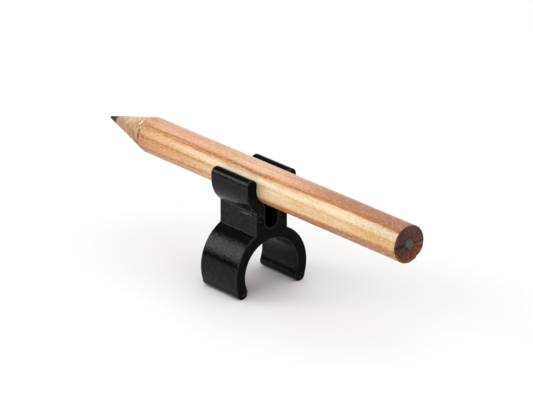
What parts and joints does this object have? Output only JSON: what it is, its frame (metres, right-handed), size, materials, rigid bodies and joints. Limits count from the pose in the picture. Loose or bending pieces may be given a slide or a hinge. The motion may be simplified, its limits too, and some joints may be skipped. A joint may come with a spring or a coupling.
{
  "type": "pencil clip",
  "caption": "Springy moulded clip that snaps round a stand tube with its lower ring and holds a short round wooden pencil, sharpened at one end, in the open jaws above it.",
  "frame": {"origin": "on the axis of the clip's tube bore, at the clip's mid-width", "axes": "+Y along the tube and the pencil, towards the pencil's point; +Z from the tube up to the pencil; +X across"},
  "size_m": [0.018, 0.0882, 0.0255],
  "materials": {
    "black_plastic": "satin",
    "cedar": "gloss",
    "graphite": "satin"
  },
  "bodies": {
    "clip": {"clip_body": "black_plastic"},
    "pencil": {"pencil_upper_slat": "cedar", "pencil_lower_slat": "cedar", "pencil_lead": "graphite"}
  },
  "joints": [
    {"name": "pencil_slide", "type": "slide", "parent": "clip", "child": "pencil", "axis": [0, 1, 0], "range_m": [-0.0253, 0.0386]}
  ]
}
